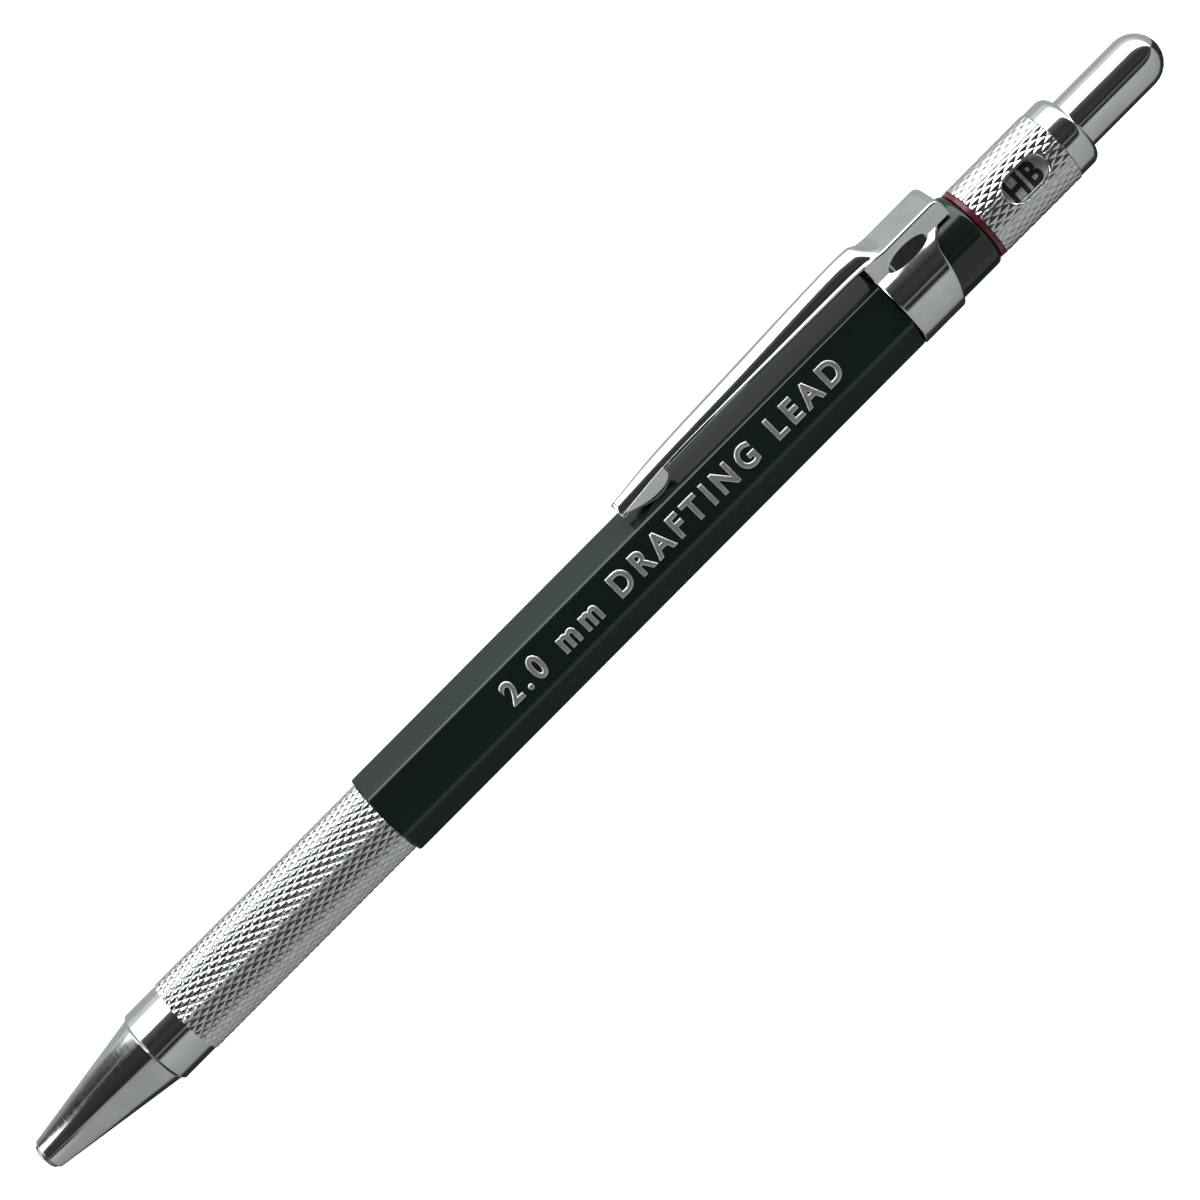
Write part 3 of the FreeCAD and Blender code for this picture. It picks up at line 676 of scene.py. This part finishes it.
def bridge(line, following):
    """Faces between two neighbouring lines of vertices."""
    for k in range(len(line) - 1):
        clip_shape.faces.new([line[k], line[k + 1], following[k + 1], following[k]])


crown_rows, left_walls, right_walls, bands = [], [], [], []
for x in arm_places + band_places + straight + bent:
    crown = crown_line(x)
    crown_rows.append([clip_vert(x, *place) for place in crown])
    if x < BAND_START - TINY:
        continue
    right = wall_line(x, crown[-1])
    right_walls.append([crown_rows[-1][-1]] + [clip_vert(x, *place) for place in right])
    left_walls.append([crown_rows[-1][0]] + [clip_vert(x, -side, height) for side, height in right])
    if x > BAND_END + TINY:
        continue
    begin = math.atan2(right[-1][0], right[-1][1])
    ring = []
    for k in range(1, BAND_STEPS):
        turn = begin + (math.tau - 2 * begin) * k / BAND_STEPS
        side, height = BAND_RADIUS * math.sin(turn), BAND_RADIUS * math.cos(turn)
        from_wall = min(turn - begin, math.tau - begin - turn)
        sweep = REAR_SWEEP * max(0, 1 - from_wall / SWEEP_TURN) ** 2
        rear = REAR_PLANE + REAR_SLANT * height + sweep
        share = (x - BAND_START) / (BAND_END - BAND_START)
        ring.append(clip_vert(BAND_START + (rear - BAND_START) * share, side, height))
    bands.append([right_walls[-1][-1]] + ring + [left_walls[-1][-1]])
for rows in (crown_rows, left_walls, right_walls, bands):
    for line, following in zip(rows, rows[1:]):
        bridge(line, following)
rear_edge = left_walls[-1][::-1] + crown_rows[-1][1:-1] + right_walls[-1]
clip_shape.faces.new(rear_edge)

# %% Fold the leaves down
LEAF_START, LEAF_END, LEAF_FOOT, LEAF_STEPS = ARM_START + 0.3, 85.6, 4.12, 5
LEAF_LEAN, LEAF_FULLNESS, LEAF_SPREAD = 1.35, 0.65, 0.04
for side_index in (0, -1):
    leaf_rows = []
    for x, row in zip(arm_places, crown_rows):
        if not LEAF_START <= x <= LEAF_END:
            continue
        part = (x - LEAF_START) / (LEAF_END - LEAF_START)
        drop = math.sin(math.pi * part**LEAF_LEAN) ** LEAF_FULLNESS if 0 < part < 1 else 0
        top = row[side_index]
        here = CLIP_TURN.inverted() @ top.co
        depth = (LEAF_FOOT - here.z) * drop
        leaf = [top]
        for step in range(1, LEAF_STEPS + 1):
            share = step / LEAF_STEPS
            leaf.append(clip_vert(x, here.y * (1 + LEAF_SPREAD * share), here.z + depth * share))
        leaf_rows.append(leaf)
    for line, following in zip(leaf_rows, leaf_rows[1:]):
        bridge(line, following)

# %% Give the skin its thickness
clip = make_piece("clip_bent", clip_shape, None, ["clip_band", "clip_arm"])
thick = clip.modifiers.new("sheet", "SOLIDIFY")
thick.thickness, thick.offset = SHEET * MM, -1
clip_mesh = bpy.data.meshes.new_from_object(clip.evaluated_get(bpy.context.evaluated_depsgraph_get()))
clip.modifiers.clear()
clip.data = clip_mesh
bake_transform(clip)
print("clip faces with thickness:", len(clip_mesh.polygons))

# %% [markdown]
# ## Return spring
# The spring inside the barrel pushes the lead tube back after each click. It is steel wire wound on a
# mandrel, so it is drawn as a circle of points carried along a helix, at one length. In the holder it is
# the one hard piece that changes its length: it is squashed against its seat as the button goes down.

# %% Return spring
WIRE_RADIUS, SPRING_PITCH, PUSH_TRAVEL = 0.25, 2.6, 3.5
WIRE_STEPS, TURN_STEPS = 12, 48
spring_start, spring_end = reach("return_spring")
coil_radius = radius_of("return_spring") - WIRE_RADIUS
wound = spring_end - spring_start - 2 * WIRE_RADIUS
coils = wound / SPRING_PITCH
wire_rings = []
for step in range(round(coils * TURN_STEPS) + 1):
    coil_turn = math.tau * step / TURN_STEPS
    middle = spring_start + WIRE_RADIUS + SPRING_PITCH * step / TURN_STEPS
    ring = []
    for k in range(WIRE_STEPS):
        t = math.tau * k / WIRE_STEPS
        out = coil_radius + WIRE_RADIUS * math.cos(t)
        ring.append(around(middle + WIRE_RADIUS * math.sin(t), out, coil_turn))
    wire_rings.append(ring)
spring = make_piece("return_spring_coiled", skin_over(wire_rings), "holder", ["return_spring"])
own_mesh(spring)

# %% [markdown]
# ## Stamped lettering
# The flat that faces up carries a line of capitals, hot-stamped through silver foil. The words are
# plain ones that say what goes into the holder. The letters could be a bump in a texture, but then
# their edges would catch no light. Here each is a solid from Blender's own font with a rounded edge.

# %% Solid letters
EDGE_STEPS, CURVE_STEPS = 3, 8


def solid_words(name, words, relief, bend, spacing, bold):
    """A flat mesh of words from Blender's own font, raised by relief, with edges rounded by bend."""
    curve = bpy.data.curves.new(name, "FONT")
    curve.body, curve.align_x, curve.align_y = words, "CENTER", "CENTER"
    curve.extrude, curve.bevel_depth, curve.bevel_resolution = relief, bend, EDGE_STEPS
    curve.space_character, curve.offset = spacing, bold
    curve.resolution_u = CURVE_STEPS
    writer = bpy.data.objects.new(name + "_writer", curve)
    bpy.context.scene.collection.objects.link(writer)
    mesh = bpy.data.meshes.new_from_object(writer.evaluated_get(bpy.context.evaluated_depsgraph_get()))
    bpy.data.objects.remove(writer)
    return mesh


def fitted(mesh, length, height):
    """The mesh's vertices as a bmesh, scaled to this length and height about its own middle."""
    shape = bmesh.new()
    shape.from_mesh(mesh)
    low = [min(v.co[k] for v in shape.verts) for k in range(3)]
    high = [max(v.co[k] for v in shape.verts) for k in range(3)]
    for v in shape.verts:
        v.co.x = (v.co.x - (low[0] + high[0]) / 2) * length / (high[0] - low[0])
        v.co.y = (v.co.y - (low[1] + high[1]) / 2) * height / (high[1] - low[1])
        v.co.z = (v.co.z - low[2]) * height / (high[1] - low[1])
    return shape


WORDS_START, WORDS_END, WORDS_HEIGHT = 60.1, 103.0, 2.5
FOIL_PROUD, FOIL_SUNK = 0.13, 0.13
words = solid_words(
    "barrel_words", "2.0 mm DRAFTING LEAD", relief=0.0, bend=0.05, spacing=1.4, bold=-0.008
)
words_shape = fitted(words, WORDS_END - WORDS_START, WORDS_HEIGHT)
tallest = max(v.co.z for v in words_shape.verts)
for v in words_shape.verts:
    v.co.x += (WORDS_START + WORDS_END) / 2
    v.co.z = HALF_FLATS - FOIL_SUNK + v.co.z / tallest * (FOIL_PROUD + FOIL_SUNK)
lettering = make_piece("barrel_lettering", words_shape, "holder", None)

# %% [markdown]
# ## Grades on the drum
# The drum inside the sleeve carries six grades of lead, and the window shows one of them. They are
# stamped and filled with black enamel, thin as a coat of paint, and bent round the drum.

# %% Grades
GRADES = ("HB", "B", "2B", "2H", "H", "F")
GRADE_HEIGHT, GRADE_LENGTH = 2.5, 3.7
DRUM_RADIUS = radius_of("grade_drum")
PAINT = 0.02
SLICE, SLICES_BESIDE = 0.25, 5
GRADE_BACK = 0.2
grade_marks = []
for index, grade in enumerate(GRADES):
    flat_word = solid_words("grade", grade, relief=0.02, bend=0.0, spacing=1.1, bold=0.035)
    shape = fitted(flat_word, GRADE_LENGTH * len(grade) / 2, GRADE_HEIGHT)
    for cut_at in range(-SLICES_BESIDE, SLICES_BESIDE + 1):
        everything = list(shape.verts) + list(shape.edges) + list(shape.faces)
        bmesh.ops.bisect_plane(shape, geom=everything, plane_co=(0, cut_at * SLICE, 0), plane_no=(0, 1, 0))
    tallest = max(v.co.z for v in shape.verts)
    for v in shape.verts:
        turn = WINDOW_TURN - v.co.y / DRUM_RADIUS + math.tau * index / len(GRADES)
        out = DRUM_RADIUS - PAINT + 2 * PAINT * v.co.z / tallest
        v.co = around(WINDOW_START + WINDOW_LENGTH / 2 - GRADE_BACK + v.co.x, out, turn)
    grade_marks.append(make_piece("grade_mark_" + grade, shape, "holder", None))

# %% [markdown]
# ## Materials
# One function turns a printed colour into the linear one that the shader wants, and one adds a node
# with its settings and its links. Nearly every finish here is the same recipe with its own numbers:
# a fine grain in the tint, another in the gloss and a third in the surface itself. Two colours that
# are almost the same, and a roughness that wanders a little, are what keep a surface from looking
# like a drawing of itself. Every grain is sized in millimetres.

# %% Helpers for materials
def paint(code):
    """An sRGB colour such as '#C8C8C8' in linear light."""
    shares = [int(code[k : k + 2], 16) / 255 for k in (1, 3, 5)]
    linear = [s / 12.92 if s <= 0.04045 else ((s + 0.055) / 1.055) ** 2.4 for s in shares]
    return (*linear, 1.0)


def add_node(tree, kind, inputs=None, **settings):
    """A node of this kind with its settings. Each input is a value or another node's output."""
    made = tree.nodes.new(kind)
    for setting, value in settings.items():
        setattr(made, setting, value)
    for socket, value in (inputs or {}).items():
        if isinstance(value, bpy.types.NodeSocket):
            tree.links.new(value, made.inputs[socket])
        else:
            made.inputs[socket].default_value = value
    return made


EVEN = (1, 1, 1)
GRAIN_LOW, GRAIN_HIGH = 0.3, 0.7


def finish_recipe(name, tint, gloss, surface, **values):
    """A finish with a grain in its tint, its gloss and its surface, and these values in its shader.

    tint is (grain, stretch, two colours), gloss is (grain, stretch, two roughnesses) and surface is
    (grain, stretch, depth). Grains and depths are in millimetres, and a stretch draws a grain out.
    """
    material = bpy.data.materials.new(name)
    material.use_nodes = True
    tree = material.node_tree
    shader = tree.nodes["Principled BSDF"]
    for socket, value in values.items():
        shader.inputs[socket].default_value = value
    place = add_node(tree, "ShaderNodeTexCoord").outputs["Object"]
    grains = []
    for grain, stretch in (tint[:2], gloss[:2], surface[:2]):
        drawn = add_node(tree, "ShaderNodeMapping", {"Vector": place, "Scale": [1 / s for s in stretch]})
        settings = {"Vector": drawn.outputs["Vector"], "Scale": 1 / (grain * MM), "Detail": 3.0}
        grains.append(add_node(tree, "ShaderNodeTexNoise", settings).outputs["Fac"])
    span = {"From Min": GRAIN_LOW, "From Max": GRAIN_HIGH}
    share = add_node(tree, "ShaderNodeMapRange", {"Value": grains[0], **span}).outputs["Result"]
    colours = {0: share, 6: paint(tint[2][0]), 7: paint(tint[2][1])}
    colour = add_node(tree, "ShaderNodeMix", colours, data_type="RGBA").outputs[2]
    tree.links.new(colour, shader.inputs["Base Color"])
    rough = {"Value": grains[1], "To Min": gloss[2][0], "To Max": gloss[2][1], **span}
    rough = add_node(tree, "ShaderNodeMapRange", rough).outputs["Result"]
    tree.links.new(rough, shader.inputs["Roughness"])
    bump = add_node(tree, "ShaderNodeBump", {"Height": grains[2], "Distance": surface[2] * MM})
    tree.links.new(bump.outputs["Normal"], shader.inputs["Normal"])
    return material


def wear(pieces, material):
    """Give every one of these objects this material alone."""
    for piece in pieces:
        piece.data.materials.clear()
        piece.data.materials.append(material)
    print(material.name, "on", ", ".join(piece.name for piece in pieces))


# %% [markdown]
# ## Chrome plate
# The cone, the clip, the collar and the button are turned or pressed in brass or steel, polished and
# plated with chrome. The plate is a mirror with a faintly cool tint. What gives it away as a real
# part is what the polishing leaves: fine lines round each turned piece, drawn here as coarse as they
# need to be to show, and a softness in the reflections from the very shallow waves under the plate.

# %% Polished chrome plate
chrome = finish_recipe(
    "polished_chrome_plate",
    tint=(2.5, EVEN, ("#E3E6E4", "#D6DBD8")),
    gloss=(0.12, (1, 14, 14), (0.07, 0.13)),
    surface=(1.4, EVEN, 0.004),
    Metallic=1.0,
)
wear([nose_cone, end_collar, push_button, clip], chrome)

# %% [markdown]
# ## Rolled chrome
# The knurls are rolled into the brass before it is plated, so each ridge keeps the matt skin of the
# rolls under the chrome. It is the same metal, a step duller. The smooth end of the grip is polished,
# and wears the bright plate.

# %% Knurled chrome
knurled_chrome = finish_recipe(
    "rolled_knurl_chrome",
    tint=(0.5, EVEN, ("#E6E8E7", "#D2D6D4")),
    gloss=(0.5, EVEN, (0.12, 0.20)),
    surface=(0.3, EVEN, 0.004),
    Metallic=1.0,
)
wear([grip, grade_sleeve], knurled_chrome)
grip.data.materials.append(chrome)
for face in grip.data.polygons:
    if face.center.x < TIP + SMOOTH_END * MM:
        face.material_index = 1

# %% [markdown]
# ## Green plastic
# The barrel is moulded in ABS so dark a green that it passes for black. The mould is polished, so the
# plastic is glossy, and its colour shows only where a flat looks away from the light. The plastic
# flowed along the barrel as it filled the mould, so its streaks and its slow waves run that way.

# %% Moulded dark green ABS
green = finish_recipe(
    "moulded_abs_dark_green",
    tint=(6.0, (6, 1, 1), ("#16211D", "#1C2823")),
    gloss=(0.6, EVEN, (0.09, 0.15)),
    surface=(3.0, (4, 1, 1), 0.004),
    IOR=1.53,
)
wear([barrel], green)

# %% [markdown]
# ## Red plastic
# The thin ring is ABS too, in a wine red, and the pointer's body is of the same plastic. Such a small
# piece keeps more of the mould's own texture, so its light is broader and softer than the barrel's.

# %% Moulded red ABS
red = finish_recipe(
    "moulded_abs_red",
    tint=(1.0, EVEN, ("#742032", "#5E1827")),
    gloss=(0.4, EVEN, (0.2, 0.3)),
    surface=(0.8, EVEN, 0.004),
    IOR=1.53,
)
wear([marker_ring, nodes["pointer_body"]], red)

# %% [markdown]
# ## Brass
# The pieces inside are turned in free-cutting brass and left bare. The tool leaves rings round each
# one, drawn coarser than they are so that they show, and the bare metal is yellow with browner places
# where it has been handled.

# %% Turned brass
brass = finish_recipe(
    "turned_brass",
    tint=(0.15, (1, 10, 10), ("#E0BE72", "#B9924A")),
    gloss=(0.15, (1, 10, 10), (0.22, 0.34)),
    surface=(0.15, (1, 10, 10), 0.006),
    Metallic=1.0,
)
turned_inside = ("front_bush", "rear_core", "collet_ring", "lead_tube", "tube_collar", "cap_seat")
wear([nodes[name] for name in turned_inside], brass)

# %% [markdown]
# ## Spring steel
# The spring, its seat, the friction ring, the pointer's blade and the jaws of the collet are hardened
# steel. Drawing and hardening leave a grey, slightly mottled skin with a soft shine.

# %% Drawn spring steel
spring_steel = finish_recipe(
    "drawn_spring_steel",
    tint=(0.2, EVEN, ("#B8BABC", "#8E9194")),
    gloss=(0.2, EVEN, (0.25, 0.37)),
    surface=(0.2, EVEN, 0.006),
    Metallic=1.0,
)
sprung = ("spring_seat", "friction_ring", "pointer_blade")
jaws = [name for name in nodes if name.startswith("collet_jaw")]
wear([spring] + [nodes[name] for name in (*sprung, *jaws)], spring_steel)

# %% [markdown]
# ## Satin aluminium
# The drum behind the window is aluminium with a fine turned finish, whose lines are drawn coarser than
# they are. It is dull beside the chrome, so the black grade on it is easy to read.

# %% Satin aluminium
satin = finish_recipe(
    "satin_aluminium",
    tint=(0.08, (1, 20, 20), ("#D4D6D5", "#C2C5C4")),
    gloss=(0.08, (1, 20, 20), (0.34, 0.46)),
    surface=(0.08, (1, 20, 20), 0.006),
    Metallic=1.0,
)
wear([nodes["grade_drum"]], satin)

# %% [markdown]
# ## Graphite
# The lead is graphite and clay, pressed through a die and baked. It is nearly black with the greasy
# shine of a metal, and fine lines from the die run along it, again drawn coarse enough to show.

# %% Extruded graphite
graphite = finish_recipe(
    "extruded_graphite",
    tint=(0.1, (12, 1, 1), ("#4A4A4E", "#333337")),
    gloss=(0.1, (12, 1, 1), (0.38, 0.50)),
    surface=(0.1, (12, 1, 1), 0.006),
    Metallic=1.0,
)
wear([nodes["lead"]], graphite)

# %% [markdown]
# ## Foil and enamel
# The line of words is metal foil pressed into the plastic by a hot die. Foil is brighter than paint
# and takes a cool tint from its lacquer. The grades are filled with black baking enamel, which sets
# with a low sheen and the slight unevenness of something wiped into a groove.

# %% Silver foil and black enamel
foil = finish_recipe(
    "hot_stamped_silver_foil",
    tint=(0.25, EVEN, ("#F8F7FB", "#E6E4EC")),
    gloss=(0.25, EVEN, (0.34, 0.46)),
    surface=(0.25, EVEN, 0.006),
    Metallic=1.0,
)
wear([lettering], foil)
enamel = finish_recipe(
    "baked_black_enamel",
    tint=(0.3, EVEN, ("#0B0B0D", "#17171A")),
    gloss=(0.15, EVEN, (0.3, 0.42)),
    surface=(0.3, EVEN, 0.002),
    IOR=1.5,
)
wear(grade_marks, enamel)
print("materials:", len(bpy.data.materials))

# %% [markdown]
# ## Studio
# Polished metal shows nothing but the room, so the room is the lighting. Long pale cards stand on
# both sides of a table. The ceiling between them, where the camera is, is dark but for one thin strip.
# Along the holder the room doesn't change, so its brightness depends only on the turn about the
# holder's axis. The one exception is a narrow band of the room past the tip, which the cone's slope
# shows: a dimmer row of cards stands there. It is kept narrow because one flank of each ridge of the
# knurl shows it too.

# %% Room
BESIDE = (  # turn from straight up towards +Y in degrees, brightness
    (-180, 0.03),
    (-150, 0.03),
    (-124, 0.04),
    (-113, 0.36),
    (-34, 0.50),
    (-28, 0.02),
    (-20, 0.02),
    (-17, 0.30),
    (-14, 0.02),
    (4, 0.05),
    (20, 0.035),
    (42, 0.12),
    (47, 3.4),
    (88, 3.4),
    (96, 0.85),
    (112, 0.74),
    (120, 0.48),
    (172, 0.46),
    (180, 0.03),
)
PAST_TIP = (  # the same, for what the cone's slope shows
    (-180, 0.03),
    (-147, 0.24),
    (-100, 0.36),
    (-18, 0.36),
    (-11, 0.02),
    (20, 0.04),
    (52, 0.02),
    (58, 0.16),
    (63, 0.02),
    (80, 0.03),
    (98, 0.10),
    (125, 0.34),
    (172, 0.42),
    (180, 0.03),
)
CARD_TINT = (0.97, 1.0, 0.985)
CONE_SEES, CONE_MARGIN, CONE_FADE = -0.41, 0.09, 0.02
world = bpy.data.worlds.new("studio")
bpy.context.scene.world = world
world.use_nodes = True
tree = world.node_tree
direction = add_node(tree, "ShaderNodeTexCoord").outputs["Generated"]
parts = add_node(tree, "ShaderNodeSeparateXYZ", {"Vector": direction}).outputs
sideways = {0: parts["Y"], 1: parts["Z"]}
angle = add_node(tree, "ShaderNodeMath", sideways, operation="ARCTAN2").outputs["Value"]
circle = {"Value": angle, "From Min": -math.pi, "From Max": math.pi}
turn_share = add_node(tree, "ShaderNodeMapRange", circle).outputs["Result"]
card_rows = []
for levels in (BESIDE, PAST_TIP):
    ramp = add_node(tree, "ShaderNodeValToRGB", {"Fac": turn_share})
    for turn, level in levels[1:-1]:
        ramp.color_ramp.elements.new((turn + 180) / 360)
    for element, (turn, level) in zip(ramp.color_ramp.elements, levels):
        element.color = (*(level * tint for tint in CARD_TINT), 1)
    card_rows.append(ramp.outputs["Color"])
lengthwise = {0: parts["X"], 1: CONE_SEES}
off = add_node(tree, "ShaderNodeMath", lengthwise, operation="SUBTRACT").outputs["Value"]
off = add_node(tree, "ShaderNodeMath", {0: off}, operation="ABSOLUTE").outputs["Value"]
edge = {"Value": off, "From Min": CONE_MARGIN + CONE_FADE, "From Max": CONE_MARGIN}
past_tip = add_node(tree, "ShaderNodeMapRange", edge).outputs["Result"]
mix = {0: past_tip, 6: card_rows[0], 7: card_rows[1]}
room = add_node(tree, "ShaderNodeMix", mix, data_type="RGBA").outputs[2]
tree.links.new(room, tree.nodes["Background"].inputs["Color"])
print("cards in the room:", len(BESIDE), "beside,", len(PAST_TIP), "past the tip")

# %% Table
SIZE, GAP = 60.0, 0.0002
low, high = cad_box
bpy.ops.mesh.primitive_plane_add(size=SIZE, location=((low.x + high.x) / 2, 0, low.z - GAP))
table = bpy.context.object
table.name = "table"
white = bpy.data.materials.new("white_table")
white.use_nodes = True
shader = white.node_tree.nodes["Principled BSDF"]
shader.inputs["Base Color"].default_value = paint("#F4F4F4")
shader.inputs["Emission Color"].default_value = paint("#FFFFFF")
shader.inputs["Emission Strength"].default_value = 1.0
wear([table], white)
table.visible_glossy = False
print("table", SIZE, "m wide")

# %% Camera
LENS, DISTANCE = 105.6, 324.5
LEAN, ROLL = math.radians(3.0), math.radians(45.15)
AIM = 72.5
camera_data = bpy.data.cameras.new("camera")
camera_data.lens, camera_data.sensor_width = LENS, 36
camera_data.clip_start, camera_data.clip_end = 0.01, 100
camera = bpy.data.objects.new("camera", camera_data)
bpy.context.scene.collection.objects.link(camera)
back = Vector((0, math.sin(LEAN), math.cos(LEAN)))
uphill = Vector((0, math.cos(LEAN), -math.sin(LEAN)))
along = Vector((1, 0, 0))
right = along * math.cos(ROLL) - uphill * math.sin(ROLL)
up = along * math.sin(ROLL) + uphill * math.cos(ROLL)
turn = Matrix((right, up, back)).transposed().to_4x4()
camera.matrix_world = Matrix.Translation(TO_ROW @ (Vector((AIM, 0, 0)) + back * DISTANCE)) @ turn
bpy.context.scene.camera = camera
bpy.context.scene.view_settings.view_transform = "Standard"
print("camera", round(DISTANCE), "mm from the axis")
